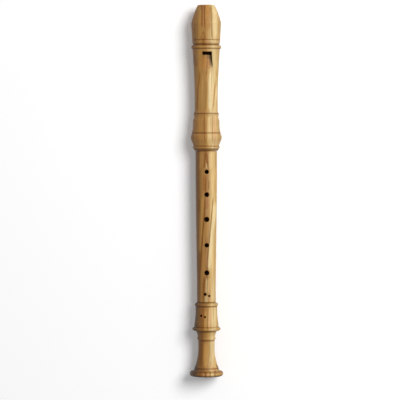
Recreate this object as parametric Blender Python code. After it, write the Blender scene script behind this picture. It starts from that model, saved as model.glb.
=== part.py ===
"""Alto recorder in turned olive wood, lying on its back: the head joint with its cedar block, the
middle joint with a corked tenon at each end, and the foot joint.

Metres, +Z up. The bore runs along Y with the beak at +Y, and the finger holes face +Z. The origin is
on the surface that the recorder lies on, below the middle of its length.
"""

import math
from types import SimpleNamespace

import bmesh
import bpy
from mathutils import Matrix, Vector

mm = 0.001
deg = math.radians(1)

# Facets round the turned pieces, the drilled holes and the scoop under the beak.
turned_sides = 32
hole_sides = 16
scoop_sides = 96

# Clearances between pieces that fit each other.
shoulder_gap = 0.3 * mm
tenon_end_gap = 0.5 * mm
socket_gap = 0.45 * mm
cork_gap = 0.2 * mm
cork_seat_gap = 0.15 * mm
block_gap = 0.2 * mm
past = 5 * mm

# How far each joint is turned about the bore as the recorder lies, clockwise seen from the foot.
head_turn = 4.4 * deg
middle_turn = 2.4 * deg
foot_turn = -19 * deg

# The V-shaped lines cut between the mouldings.
line_depth = 0.35 * mm
line_width = 0.6 * mm

# The foot joint. The bell and its mouldings are measured up from the bell's end, and those at the
# socket, whose names end in _down, are measured down from the top.
foot = SimpleNamespace(
    length=99.8 * mm,
    bore_top_radius=7.0 * mm,
    bore_radius=7.3 * mm,
    mouth_chamfer=1.0 * mm,
    rim_radius=22.6 * mm,
    rim_face_radius=18.95 * mm,
    rim_height=7.4 * mm,
    bell_radius=17.2 * mm,
    bell_height=8.3 * mm,
    bell_hollow=0.15 * mm,
    step_radius=15.8 * mm,
    step_height=13.5 * mm,
    step_depth=0.8 * mm,
    flare_radius=12.3 * mm,
    flare_height=24.7 * mm,
    flare_hollow=0.1 * mm,
    waist_radius=11.0 * mm,
    waist_bottom=36.0 * mm,
    waist_top=48.6 * mm,
    bead_seat=0.6 * mm,
    bead_swell=0.8 * mm,
    bead_bottom=49.3 * mm,
    bead_top=53.3 * mm,
    neck_radius=13.8 * mm,
    neck_height=60.8 * mm,
    neck_hollow=0.35 * mm,
    flange_radius=19.1 * mm,
    flange_round=1.0 * mm,
    flange_bottom=62.2 * mm,
    flange_top=65.8 * mm,
    body_bottom_radius=16.3 * mm,
    lower_line=67.0 * mm,
    upper_line=70.1 * mm,
    body_top_radius=14.7 * mm,
    body_hollow=0.65 * mm,
    body_top_down=7.8 * mm,
    hollow_radius=14.45 * mm,
    hollow_bottom_down=7.4 * mm,
    hollow_top_down=4.9 * mm,
    ring_radius=15.7 * mm,
    ring_round=0.5 * mm,
    ring_bottom_down=4.6 * mm,
    ring_top_down=1.6 * mm,
    top_lip=0.55 * mm,
)

# The middle joint, measured up from its lower shoulder. Its bore narrows towards the foot. A
# shoulder is how far the body stands out past its tenon.
middle = SimpleNamespace(
    length=203.8 * mm,
    bore_top_radius=9.45 * mm,
    bore_bottom_radius=6.9 * mm,
    lower_shoulder=2.9 * mm,
    lower_straight=28 * mm,
    upper_shoulder=2.45 * mm,
    upper_straight=32 * mm,
    body_swell=0.15 * mm,
    edge=0.4 * mm,
)

# Each tenon's wall over the bore, and the seat that is turned into it for its cork.
upper_tenon = SimpleNamespace(
    radius=middle.bore_top_radius + 2.5 * mm,
    length=26.0 * mm,
    cork_length=17.0 * mm,
    cork_from_end=3.5 * mm,
    seat_depth=1.0 * mm,
)
lower_tenon = SimpleNamespace(
    radius=middle.bore_bottom_radius + 2.85 * mm,
    length=12.6 * mm,
    cork_length=7.5 * mm,
    cork_from_end=2.2 * mm,
    seat_depth=1.0 * mm,
)
cork_edge = 0.4 * mm

# Finger holes of the middle joint: distance down from the upper shoulder, diameter, and angle from
# the row of single holes.
finger_holes = {
    "first": (27.8 * mm, 6.0 * mm, 0),
    "second": (58.5 * mm, 6.6 * mm, 0),
    "third": (91.8 * mm, 7.0 * mm, 0),
    "fourth": (126.6 * mm, 6.1 * mm, 0),
    "fifth": (163.6 * mm, 6.7 * mm, 0),
    "sixth_large": (192.5 * mm, 4.1 * mm, -10.5 * deg),
    "sixth_small": (194.9 * mm, 3.2 * mm, 15.5 * deg),
    "thumb": (12.9 * mm, 5.8 * mm, 180 * deg),
}
# The same for the pair on the foot joint, down from its top.
little_finger_holes = {
    "seventh_large": (17.5 * mm, 3.8 * mm, -11 * deg),
    "seventh_small": (18.9 * mm, 3.0 * mm, 11 * deg),
}

# The head joint. Its lower mouldings are measured up from the socket's mouth.
head = SimpleNamespace(
    length=195.8 * mm,
    bore_radius=9.75 * mm,
    mouth_lip=1.0 * mm,
    ring_bottom=2.2 * mm,
    ring_top=6.9 * mm,
    ring_radius=18.25 * mm,
    ring_round=0.5 * mm,
    neck_radius=17.7 * mm,
    neck_height=7.7 * mm,
    neck_hollow=0.15 * mm,
    bulb_edge_radius=19.7 * mm,
    bulb_bottom=13.4 * mm,
    bulb_swell=1.25 * mm,
    bulb_top_radius=19.4 * mm,
    bulb_top=23.5 * mm,
    collar_radius=17.8 * mm,
    collar_hollow=0.3 * mm,
    collar_bottom=34.0 * mm,
    collar_top=41.0 * mm,
    bead_seat_radius=16.3 * mm,
    bead_seat_hollow=0.2 * mm,
    bead_bottom=46.4 * mm,
    bead_top_radius=16.0 * mm,
    bead_top=52.2 * mm,
    bead_swell=0.7 * mm,
    tube_radius=15.55 * mm,
    tube_bottom=52.8 * mm,
)

# The head's upper mouldings and the beak, measured down from its tip. The scoop is the hollow under
# the beak, and its drum's top lies tip_back below the bore's axis.
beak = SimpleNamespace(
    tip_radius=head.bore_radius + 1.75 * mm,
    tip_edge=0.3 * mm,
    cone_length=23.7 * mm,
    cone_radius=19.95 * mm,
    cone_swell=0.8 * mm,
    shoulder_radius=20.1 * mm,
    shoulder_swell=0.15 * mm,
    shoulder=26.0 * mm,
    cheek_radius=18.9 * mm,
    cheek_hollow=0.1 * mm,
    cheek=45.4 * mm,
    cheek_line=46.0 * mm,
    band_radius=18.6 * mm,
    band_top=46.6 * mm,
    band=50.2 * mm,
    cove_radius=17.6 * mm,
    cove_hollow=0.15 * mm,
    cove=51.9 * mm,
    bead_top=53.1 * mm,
    bead_bottom=58.9 * mm,
    bead_base_radius=18.2 * mm,
    bead_swell=1.95 * mm,
    shaft_radius=18.3 * mm,
    shaft=59.5 * mm,
    shaft_end=118 * mm,
    shaft_hollow=0.35 * mm,
    scoop_radius=56 * mm,
    scoop_from_tip=3 * mm,
    tip_back=1.0 * mm,
)

# The window and the windway that feeds it, measured down from the tip. The labium's edge is the
# lower end of the window, and the ramp climbs from it to the outside of the head.
voicing = SimpleNamespace(
    window_top=62.7 * mm,
    window_length=4.5 * mm,
    window_width=13.0 * mm,
    labium_radius=head.bore_radius + 0.45 * mm,
    ramp_run=31 * mm,
    ramp_rise_to=19.3 * mm,
    ramp_end_width=17.0 * mm,
    entry_width=13.8 * mm,
    roof_radius=head.bore_radius + 0.75 * mm,
    exit_floor_radius=head.bore_radius - 0.35 * mm,
    entry_floor_radius=head.bore_radius - 0.6 * mm,
)
arc_pieces = 8

colours = {
    "head_joint": (0.42, 0.22, 0.07),
    "middle_joint": (0.50, 0.29, 0.11),
    "foot_joint": (0.46, 0.26, 0.09),
    "block": (0.40, 0.17, 0.08),
    "cork": (0.48, 0.30, 0.15),
}
wood_roughness = 0.4
cedar_roughness = 0.6
cork_roughness = 0.9

# Where each piece starts along the bore, from the bell end, and how high the bore lies.
middle_start = foot.length + shoulder_gap
head_start = middle_start + middle.length + shoulder_gap
total_length = head_start + head.length
axis_height = foot.rim_radius * math.cos(math.pi / turned_sides)
upper_socket_radius = upper_tenon.radius + socket_gap
lower_socket_radius = lower_tenon.radius + socket_gap
upper_socket_depth = upper_tenon.length - shoulder_gap + tenon_end_gap
lower_socket_depth = lower_tenon.length - shoulder_gap + tenon_end_gap
middle_top_radius = upper_tenon.radius + middle.upper_shoulder
middle_bottom_radius = lower_tenon.radius + middle.lower_shoulder


def clear_scene():
    for thing in list(bpy.data.objects):
        bpy.data.objects.remove(thing, do_unlink=True)


def material(name, colour, roughness):
    finish = bpy.data.materials.new(name)
    finish.use_nodes = True
    shader = finish.node_tree.nodes["Principled BSDF"]
    shader.inputs["Base Color"].default_value = (*colour, 1)
    shader.inputs["Roughness"].default_value = roughness
    shader.inputs["Metallic"].default_value = 0
    return finish


def arc(start, end, swell, pieces):
    """Points between two outline points along an arc that stands out by swell, or in if negative."""
    chord = math.dist(start, end)
    height = abs(swell)
    radius = (chord * chord / 4 + height * height) / (2 * height)
    half = 2 * math.atan(2 * height / chord)
    along = ((end[0] - start[0]) / chord, (end[1] - start[1]) / chord)
    side = (along[1], -along[0]) if swell > 0 else (-along[1], along[0])
    points = []
    for i in range(1, pieces):
        turn = half * (2 * i / pieces - 1)
        u = chord / 2 + radius * math.sin(turn)
        v = radius * math.cos(turn) - (radius - height)
        points.append((start[0] + u * along[0] + v * side[0], start[1] + u * along[1] + v * side[1]))
    return points


def outline(*steps):
    """Points (radius, height) of a turned outline. A step is a point, or a point with the swell and the
    number of pieces of the arc that leads to it."""
    points = []
    for step in steps:
        end = step[:2]
        if len(step) == 4:
            points += arc(points[-1], end, step[2], step[3])
        points.append(end)
    return points


def new_object(name, shape, at, finish=None):
    """An object whose origin is on the bore's axis, at a distance from the bell end."""
    mesh = bpy.data.meshes.new(name)
    shape.to_mesh(mesh)
    shape.free()
    thing = bpy.data.objects.new(name, mesh)
    bpy.context.scene.collection.objects.link(thing)
    thing.parent = bore_axis
    thing.location = (0, at, 0)
    if finish:
        mesh.materials.append(finish)
        mesh.shade_smooth()
        mesh.set_sharp_from_angle(angle=35 * deg)
    else:
        thing.hide_render = True
        thing.display_type = "WIRE"
    return thing


def turned(name, points, at, finish):
    """A solid of revolution about the bore, from outline points that run up the outside and down the
    inside. An outline that starts and ends on the axis makes a solid piece."""
    shape = bmesh.new()
    facet = Matrix.Rotation(math.pi / turned_sides, 3, "Y")
    verts = [shape.verts.new(facet @ Vector((radius, height, 0))) for radius, height in points]
    edges = [shape.edges.new(pair) for pair in zip(verts, verts[1:])]
    if points[0][0] > 0:
        edges.append(shape.edges.new((verts[-1], verts[0])))
    bmesh.ops.spin(
        shape,
        geom=verts + edges,
        cent=(0, 0, 0),
        axis=(0, 1, 0),
        angle=2 * math.pi,
        steps=turned_sides,
        use_merge=True,
    )
    bmesh.ops.remove_doubles(shape, verts=shape.verts[:], dist=0.001 * mm)
    bmesh.ops.recalc_face_normals(shape, faces=shape.faces[:])
    return new_object(name, shape, at, finish)


def cut(piece, cutter):
    step = piece.modifiers.new(cutter.name, "BOOLEAN")
    step.operation = "DIFFERENCE"
    step.solver = "EXACT"
    step.object = cutter


def lofted(name, sections, at, turn):
    """A closed cutter through sections that have the same number of points, turned about the bore."""
    shape = bmesh.new()
    rows = [[shape.verts.new(point) for point in section] for section in sections]
    count = len(rows[0])
    for low, high in zip(rows, rows[1:]):
        for i in range(count):
            j = (i + 1) % count
            shape.faces.new((low[i], low[j], high[j], high[i]))
    shape.faces.new(rows[0][::-1])
    shape.faces.new(rows[-1])
    bmesh.ops.recalc_face_normals(shape, faces=shape.faces[:])
    cutter = new_object(name, shape, at)
    cutter.rotation_euler = (0, turn, 0)
    return cutter


def drill(piece, name, along, diameter, turn):
    """A round hole from the bore out through one wall, at an angle about the bore."""
    depth = 2 * foot.rim_radius
    shape = bmesh.new()
    bmesh.ops.create_cone(
        shape,
        cap_ends=True,
        segments=hole_sides,
        radius1=diameter / 2,
        radius2=diameter / 2,
        depth=depth,
        matrix=Matrix.Translation((0, 0, depth / 2)),
    )
    cutter = new_object(name, shape, along)
    cutter.rotation_euler = (0, turn, 0)
    cut(piece, cutter)


def line(radius, height):
    """A V-shaped line round an outline, as the steps that replace one point."""
    return (
        (radius, height - line_width / 2),
        (radius - line_depth, height),
        (radius, height + line_width / 2),
    )


def make_foot(finish):
    f = foot
    bead_base = f.waist_radius + f.bead_seat
    flange_rim = f.flange_radius - f.flange_round
    ring_rim = f.ring_radius - f.ring_round
    points = outline(
        (f.bore_radius + f.mouth_chamfer, 0),
        (f.rim_face_radius, 0),
        (f.rim_face_radius, f.rim_height, f.rim_radius - f.rim_face_radius, 8),
        (f.bell_radius, f.bell_height),
        (f.step_radius, f.step_height, -f.bell_hollow, 2),
        (f.step_radius - f.step_depth, f.step_height + f.step_depth),
        (f.flare_radius, f.flare_height),
        (f.waist_radius, f.waist_bottom, -f.flare_hollow, 3),
        (f.waist_radius, f.waist_top),
        (bead_base, f.bead_bottom),
        (bead_base, f.bead_top, f.bead_swell, 4),
        (f.neck_radius, f.neck_height, -f.neck_hollow, 3),
        (flange_rim, f.flange_bottom),
        (flange_rim, f.flange_top, f.flange_round, 4),
        *line(f.body_bottom_radius, f.lower_line),
        *line(f.body_bottom_radius, f.upper_line),
        (f.body_top_radius, f.length - f.body_top_down, -f.body_hollow, 4),
        (f.hollow_radius, f.length - f.hollow_bottom_down),
        (f.hollow_radius, f.length - f.hollow_top_down),
        (ring_rim, f.length - f.ring_bottom_down),
        (ring_rim, f.length - f.ring_top_down, f.ring_round, 3),
        (middle_bottom_radius + f.top_lip, f.length),
        (lower_socket_radius, f.length),
        (lower_socket_radius, f.length - lower_socket_depth),
        (f.bore_top_radius, f.length - lower_socket_depth),
        (f.bore_radius, f.mouth_chamfer),
    )
    piece = turned("foot_joint", points, 0, finish)
    for name, (down, diameter, angle) in little_finger_holes.items():
        drill(piece, name + "_hole_drill", f.length - down, diameter, foot_turn + angle)


def cork_seat(tenon):
    """The radius of a tenon under its cork, and the seat's two ends from the tenon's end."""
    return (
        tenon.radius - tenon.seat_depth,
        tenon.cork_from_end - cork_seat_gap,
        tenon.cork_from_end + tenon.cork_length + cork_seat_gap,
    )


def make_middle(finish):
    m = middle
    low_seat, low_first, low_last = cork_seat(lower_tenon)
    top_seat, top_first, top_last = cork_seat(upper_tenon)
    low_end = -lower_tenon.length
    top_end = m.length + upper_tenon.length
    points = outline(
        (lower_tenon.radius - m.edge, low_end),
        (lower_tenon.radius, low_end + m.edge),
        (lower_tenon.radius, low_end + low_first),
        (low_seat, low_end + low_first),
        (low_seat, low_end + low_last),
        (lower_tenon.radius, low_end + low_last),
        (lower_tenon.radius, 0),
        (middle_bottom_radius - m.edge, 0),
        (middle_bottom_radius, m.edge),
        (middle_bottom_radius, m.lower_straight),
        (middle_top_radius, m.length - m.upper_straight, m.body_swell, 3),
        (middle_top_radius, m.length - m.edge),
        (middle_top_radius - m.edge, m.length),
        (upper_tenon.radius, m.length),
        (upper_tenon.radius, top_end - top_last),
        (top_seat, top_end - top_last),
        (top_seat, top_end - top_first),
        (upper_tenon.radius, top_end - top_first),
        (upper_tenon.radius, top_end - m.edge),
        (upper_tenon.radius - m.edge, top_end),
        (m.bore_top_radius, top_end),
        (m.bore_bottom_radius, low_end),
    )
    piece = turned("middle_joint", points, middle_start, finish)
    top = middle_start + m.length
    for name, (down, diameter, angle) in finger_holes.items():
        drill(piece, name + "_hole_drill", top - down, diameter, middle_turn + angle)


def make_cork(name, tenon, socket_radius, low_end, finish):
    """A cork sleeve that fills the seat and stands out to the socket's wall."""
    inner = tenon.radius - tenon.seat_depth + cork_seat_gap
    outer = socket_radius - cork_gap
    points = outline(
        (inner, 0),
        (outer - cork_edge, 0),
        (outer, cork_edge),
        (outer, tenon.cork_length - cork_edge),
        (outer - cork_edge, tenon.cork_length),
        (inner, tenon.cork_length),
    )
    turned(name, points, low_end, finish)


def row(half, y, z):
    """Points straight across the bore, from one side to the other."""
    return [(half * (2 * i / arc_pieces - 1), y, z) for i in range(arc_pieces + 1)]


def arched(half, y, radius):
    """The same points, on an arch about the bore."""
    return [(x, y, math.sqrt(radius * radius - x * x)) for x, y, z in row(half, y, 0)]


def closed_by(edge, z):
    """A section between an edge that runs across the bore and a straight side at a height."""
    return [*edge, (edge[-1][0], edge[-1][1], z), (edge[0][0], edge[0][1], z)]


def window_cutter():
    v = voicing
    half = v.window_width / 2
    top = head.length - v.window_top
    low = head.bore_radius / 2
    high = beak.shoulder_radius + past
    sections = [closed_by(row(half, y, low), high) for y in (top - v.window_length, top)]
    return lofted("window_cutter", sections, head_start, head_turn)


def windway_cutter():
    """The slot over the block, from inside the window to beyond the tip."""
    v = voicing
    low = head.bore_radius / 2
    inside = head.length - v.window_top - v.window_length / 4
    exit_end = arched(v.window_width / 2, inside, v.roof_radius)
    entry_end = arched(v.entry_width / 2, head.length + past, v.roof_radius)
    sections = [closed_by(exit_end, low), closed_by(entry_end, low)]
    return lofted("windway_cutter", sections, head_start, head_turn)


def windway_floor_cutter():
    """What is planed off the top of the block to make the windway's floor."""
    v = voicing
    high = head.bore_radius + past
    exit_end = arched(v.window_width / 2, head.length - v.window_top - past, v.exit_floor_radius)
    entry_end = arched(v.entry_width / 2, head.length + past, v.entry_floor_radius)
    sections = [closed_by(exit_end, high), closed_by(entry_end, high)]
    return lofted("windway_floor_cutter", sections, head_start, head_turn)


def ramp_cutter():
    """What is carved away above the labium: arched at its edge and flat where it leaves the wood."""
    v = voicing
    edge = head.length - v.window_top - v.window_length
    high = beak.shoulder_radius + past
    far_end = row(v.ramp_end_width / 2, edge - v.ramp_run, v.ramp_rise_to)
    labium = arched(v.window_width / 2, edge + v.window_length / 4, v.labium_radius)
    sections = [closed_by(far_end, high), closed_by(labium, high)]
    return lofted("labium_ramp_cutter", sections, head_start, head_turn)


def scoop_cutter():
    """The drum that hollows the underside of the beak."""
    b = beak
    centre = Matrix.Translation((0, head.length - b.scoop_from_tip, -b.tip_back - b.scoop_radius))
    shape = bmesh.new()
    bmesh.ops.create_cone(
        shape,
        cap_ends=True,
        segments=scoop_sides,
        radius1=b.scoop_radius,
        radius2=b.scoop_radius,
        depth=4 * b.shoulder_radius,
        matrix=centre @ Matrix.Rotation(math.pi / 2, 4, "Y"),
    )
    cutter = new_object("beak_scoop_cutter", shape, head_start)
    cutter.rotation_euler = (0, head_turn, 0)
    return cutter


def make_head(finish, cutters):
    h = head
    b = beak
    tip = h.length
    ring_rim = h.ring_radius - h.ring_round
    points = outline(
        (middle_top_radius + h.mouth_lip, 0),
        (ring_rim, h.ring_bottom),
        (ring_rim, h.ring_top, h.ring_round, 4),
        (h.neck_radius, h.neck_height),
        (h.bulb_edge_radius, h.bulb_bottom, -h.neck_hollow, 3),
        (h.bulb_top_radius, h.bulb_top - line_width, h.bulb_swell, 6),
        *line(h.bulb_top_radius, h.bulb_top),
        (h.collar_radius, h.collar_bottom, -h.collar_hollow, 3),
        (h.collar_radius, h.collar_top),
        (h.bead_seat_radius, h.bead_bottom, -h.bead_seat_hollow, 3),
        (h.bead_top_radius, h.bead_top, h.bead_swell, 4),
        (h.tube_radius, h.tube_bottom),
        (h.tube_radius, tip - b.shaft_end),
        (b.shaft_radius, tip - b.shaft, -b.shaft_hollow, 5),
        (b.bead_base_radius, tip - b.bead_bottom),
        (b.bead_base_radius, tip - b.bead_top, b.bead_swell, 6),
        (b.cove_radius, tip - b.cove),
        (b.band_radius, tip - b.band, -b.cove_hollow, 2),
        (b.band_radius, tip - b.band_top),
        *line(b.band_radius, tip - b.cheek_line),
        (b.cheek_radius, tip - b.cheek),
        (b.shoulder_radius, tip - b.shoulder, -b.cheek_hollow, 3),
        (b.cone_radius, tip - b.cone_length, b.shoulder_swell, 2),
        (b.tip_radius, tip - b.tip_edge, b.cone_swell, 3),
        (b.tip_radius - b.tip_edge, tip),
        (h.bore_radius, tip),
        (h.bore_radius, upper_socket_depth),
        (upper_socket_radius, upper_socket_depth),
        (upper_socket_radius, 0),
    )
    piece = turned("head_joint", points, head_start, finish)
    for cutter in cutters:
        cut(piece, cutter)


def make_block(finish, cutters):
    radius = head.bore_radius - block_gap
    length = voicing.window_top
    points = outline((0, 0), (radius, 0), (radius, length), (0, length))
    piece = turned("block", points, total_length - length, finish)
    for cutter in cutters:
        cut(piece, cutter)


clear_scene()
bore_axis = bpy.data.objects.new("bore_axis", None)
bpy.context.scene.collection.objects.link(bore_axis)
bore_axis.location = (0, -total_length / 2, axis_height)

make_foot(material("foot_olive_wood", colours["foot_joint"], wood_roughness))
make_middle(material("middle_olive_wood", colours["middle_joint"], wood_roughness))

cork = material("cork", colours["cork"], cork_roughness)
upper_cork_end = middle_start + middle.length + upper_tenon.length - upper_tenon.cork_from_end
upper_cork_start = upper_cork_end - upper_tenon.cork_length
make_cork("upper_tenon_cork", upper_tenon, upper_socket_radius, upper_cork_start, cork)
lower_cork_start = middle_start - lower_tenon.length + lower_tenon.cork_from_end
make_cork("lower_tenon_cork", lower_tenon, lower_socket_radius, lower_cork_start, cork)

scoop = scoop_cutter()
head_wood = material("head_olive_wood", colours["head_joint"], wood_roughness)
make_head(head_wood, [windway_cutter(), window_cutter(), ramp_cutter(), scoop])
cedar = material("cedar", colours["block"], cedar_roughness)
make_block(cedar, [windway_floor_cutter(), scoop])
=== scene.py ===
# %% [markdown]
# # An alto recorder in oiled olive wood
# This kind of recorder is turned on a lathe in three pieces: a head with the beak and the window, a
# middle joint with most of the finger holes, and a foot with a flared bell. A cedar block closes the
# head's bore and leaves a thin slot for the breath, and cork on the two tenons makes the joints tight.
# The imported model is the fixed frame. Each of its nodes gets a finer piece that takes its place.

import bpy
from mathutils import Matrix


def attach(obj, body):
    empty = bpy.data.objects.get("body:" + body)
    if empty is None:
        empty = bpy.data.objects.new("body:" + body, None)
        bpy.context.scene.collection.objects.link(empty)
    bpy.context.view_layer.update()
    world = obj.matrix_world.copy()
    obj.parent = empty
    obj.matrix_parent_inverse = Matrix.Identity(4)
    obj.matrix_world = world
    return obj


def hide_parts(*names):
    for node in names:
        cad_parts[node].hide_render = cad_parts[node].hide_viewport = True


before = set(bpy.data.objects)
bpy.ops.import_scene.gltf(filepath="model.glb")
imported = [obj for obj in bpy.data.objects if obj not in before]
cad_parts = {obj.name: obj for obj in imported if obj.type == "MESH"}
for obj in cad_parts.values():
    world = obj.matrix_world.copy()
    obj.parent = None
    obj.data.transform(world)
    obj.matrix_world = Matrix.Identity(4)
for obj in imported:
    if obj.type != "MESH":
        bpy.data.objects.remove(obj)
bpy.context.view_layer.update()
print("CAD nodes:", ", ".join(sorted(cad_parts)))

# %% What the rest of the script needs
import math

import bmesh
import bpy
from mathutils import Matrix, Vector

mm = 0.001
same_place = 0.004 * mm
same_plane = 0.01 * mm
bore_height = 22.4912 * mm
half_length = 250 * mm
print(f"The bore lies {bore_height / mm:.2f} mm above the floor, along Y")

# %% [markdown]
# ## From an outline to a turned piece
# A turner works from one drawing: the outline, as a radius at each distance along the bore. Blender can
# do the same with a wire that is spun about an axis. The other way, scaling extruded rings of a
# cylinder, hides the outline among many numbers. So each joint is written as the steps of its outline in
# millimetres: a radius, the distance from the bell's end and, where the step is curved, how far the
# curve swells out or, if it is negative, hollows in.


# %% Points of an outline
curve_spacing = 0.7
fewest_pieces, most_pieces = 6, 40


def curve(start, end, swell):
    """Points of the arc between two outline points, about one spacing apart, without its ends."""
    chord = math.dist(start, end)
    height = abs(swell)
    radius = (chord * chord / 4 + height * height) / (2 * height)
    half = 2 * math.atan(2 * height / chord)
    along = Vector((end[0] - start[0], end[1] - start[1])) / chord
    side = Vector((along.y, -along.x)) * math.copysign(1, swell)
    count = max(fewest_pieces, min(most_pieces, round(radius * half * 2 / curve_spacing)))
    points = []
    for i in range(1, count):
        turn = half * (2 * i / count - 1)
        reach = chord / 2 + radius * math.sin(turn)
        rise = radius * math.cos(turn) - (radius - height)
        points.append(tuple(Vector(start) + along * reach + side * rise))
    return points


def outline(steps):
    """The outline's points, in millimetres, with each curved step drawn out."""
    points = []
    for step in steps:
        if len(step) == 3:
            points += curve(points[-1], step[:2], step[2])
        points.append(tuple(step[:2]))
    return points


def fine_line(radius, along):
    """A V-shaped line, 0.6 mm wide and 0.35 mm deep, cut with the point of a skew chisel."""
    half_width, depth = 0.3, 0.35
    return [(radius, along - half_width), (radius - depth, along), (radius, along + half_width)]


print("An arc of 10 mm that swells by 1 mm gets", len(curve((10, 0), (10, 10), 1)), "inner points")


# %% [markdown]
# Sandpaper takes the sharpness off every turned corner, and that soft edge is what catches the light.
# Blender's bevel could round the corners after the spin, but one width for all of them is too wide for
# the fine beads. Rounding the outline first lets each corner take as much as its neighbours leave.
# Long straight stretches are split, so that holes cut into them later stay among small faces.


# %% Sanded corners and even steps
def sanded(points, width=0.25):
    """The outline with each corner of more than 20 degrees replaced by three points."""
    most_of_stretch = 0.35
    pull = 0.55
    soft = []
    count = len(points)
    for i, point in enumerate(points):
        here = Vector(point)
        back = Vector(points[i - 1]) - here
        on = Vector(points[(i + 1) % count]) - here
        bend = math.pi - back.angle(on)
        if bend < math.radians(20):
            soft.append(point)
            continue
        reach = min(width, most_of_stretch * back.length, most_of_stretch * on.length)
        first = here + back.normalized() * reach
        last = here + on.normalized() * reach
        between = (first + last) / 2 * (1 - pull) + here * pull
        soft += [tuple(first), tuple(between), tuple(last)]
    return soft


def in_steps(points, longest=3.0):
    """The outline with no stretch longer than this, in millimetres."""
    even = []
    for point, after in zip(points, points[1:] + points[:1]):
        pieces = max(1, math.ceil(math.dist(point, after) / longest))
        for i in range(pieces):
            share = i / pieces
            even.append(tuple(near + (far - near) * share for near, far in zip(point, after)))
    return even


square = [(10, 0), (12, 0), (12, 6), (10, 6)]
print("A square outline of 4 points gets", len(in_steps(sanded(square))), "when sanded and split")


# %% [markdown]
# ## Drawing and spinning
# A wire is drawn as by hand: a small plane is merged to one vertex, and that vertex is extruded from
# point to point. Spin then turns the wire once about the bore. The seam is merged before the normals
# are made to point outwards, because a doubled seam would leave the shell open.


# %% Selecting and drawing
def choose(piece):
    """Only this object is selected and active."""
    bpy.ops.object.select_all(action="DESELECT")
    piece.select_set(True)
    bpy.context.view_layer.objects.active = piece


def draw(name, points):
    """A new object whose mesh is a wire through the points, left in edit mode."""
    bpy.ops.object.select_all(action="DESELECT")
    bpy.ops.mesh.primitive_plane_add(size=mm, location=(0, 0, 0))
    piece = bpy.context.active_object
    piece.name = name
    piece.data.name = name
    bpy.ops.object.mode_set(mode="EDIT")
    bpy.ops.mesh.select_mode(type="VERT")
    bpy.ops.mesh.merge(type="CENTER")
    bpy.ops.transform.translate(value=points[0])
    for start, end in zip(points, points[1:]):
        move = {"value": Vector(end) - Vector(start)}
        bpy.ops.mesh.extrude_vertices_move(TRANSFORM_OT_translate=move)
    return piece


def close_mesh():
    """Merges what lies together, points the faces outwards and leaves edit mode."""
    bpy.ops.mesh.select_all(action="SELECT")
    bpy.ops.mesh.remove_doubles(threshold=same_place)
    bpy.ops.mesh.normals_make_consistent(inside=False)
    bpy.ops.object.mode_set(mode="OBJECT")


print("Corners closer than", same_place / mm, "mm are merged")

# %% Spinning
sides = 96
bell_radius = 22.6
flat = bell_radius * (1 - math.cos(math.pi / sides))
print(f"With {sides} sides the bell's rim is at most {flat:.3f} mm short of round")


def turned(name, steps, soft=0.25):
    """A piece turned about the bore. An outline that starts and ends on the axis gives a solid one."""
    points = outline(steps)
    if points[0][0] > 0:
        points = in_steps(sanded(points, soft))
        points.append(points[0])
    wire = [(radius * mm, along * mm - half_length, bore_height) for radius, along in points]
    piece = draw(name, wire)
    bpy.ops.mesh.select_all(action="SELECT")
    bpy.ops.mesh.spin(steps=sides, angle=2 * math.pi, center=(0, 0, bore_height), axis=(0, 1, 0))
    close_mesh()
    print(f"{name}: {len(piece.data.polygons)} faces from {len(points)} outline points")
    return piece


# %% [markdown]
# ## The foot joint
# From the bell up: a rounded rim, a short cone with a step, the long flare to the waist, a bead, a cove
# that opens to a flange, two fine lines, and the body with its socket. The rim of the bell is the
# widest turning of the whole instrument.

# %% The foot's outline
foot_steps = [
    # The mouth of the bore and the rounded rim of the bell.
    (8.3, 0), (18.95, 0), (18.95, 7.4, 3.65),
    # The cone on the rim, its step, and the flare up to the waist.
    (17.2, 8.3), (15.8, 13.5, -0.15), (15.0, 14.3), (11.0, 36.0, -0.8), (11.0, 48.6),
    # The bead, the cove above it and the flange.
    (11.6, 49.3), (11.6, 53.3, 0.8), (13.8, 60.8, -0.35), (18.1, 62.2), (18.1, 65.8, 1.0),
    # Two fine lines and the body.
    *fine_line(16.3, 67.0), *fine_line(16.3, 70.1), (14.7, 92.0, -0.65),
    # The hollow and the ring round the socket's mouth.
    (14.45, 92.4), (14.45, 94.9), (15.2, 95.2), (15.2, 98.2, 0.5), (13.2, 99.8),
    # The socket and the bore.
    (10.2, 99.8), (10.2, 87.0), (7.0, 87.0), (7.3, 1.0),
]
foot = turned("foot", foot_steps)

# %% [markdown]
# ## Finger holes
# Finger holes are drilled from the outside, widened a little from the inside, which tunes them, and eased
# at the rim, so that fingertips feel no sharp edge. One tool does all three. The bevel operator could
# round the rims afterwards, but it folds the thin faces that a boolean leaves there. So the drill's
# wall turns outwards just where it leaves the joint's round surface, and an exact boolean takes each
# drill out by itself, because a cutter that crosses itself leaves gaps.


# %% The drill
undercut = 1.35
eased = 0.12


def widest(points, along):
    """The outer radius in millimetres of a joint with this outline, at one place along the bore."""
    radii = []
    for (radius, start), (next_radius, end) in zip(points, points[1:]):
        if start != end and min(start, end) <= along <= max(start, end):
            radii.append(radius + (next_radius - radius) * (along - start) / (end - start))
    return max(radii)


def choose_end(tool, outer):
    """Only the face at the outer or the inner end of the tool is selected."""
    bpy.ops.mesh.select_all(action="DESELECT")
    shape = bmesh.from_edit_mesh(tool.data)
    faces = sorted(shape.faces, key=lambda face: face.calc_center_median().z)
    faces[-1 if outer else 0].select = True
    bmesh.update_edit_mesh(tool.data)


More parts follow.
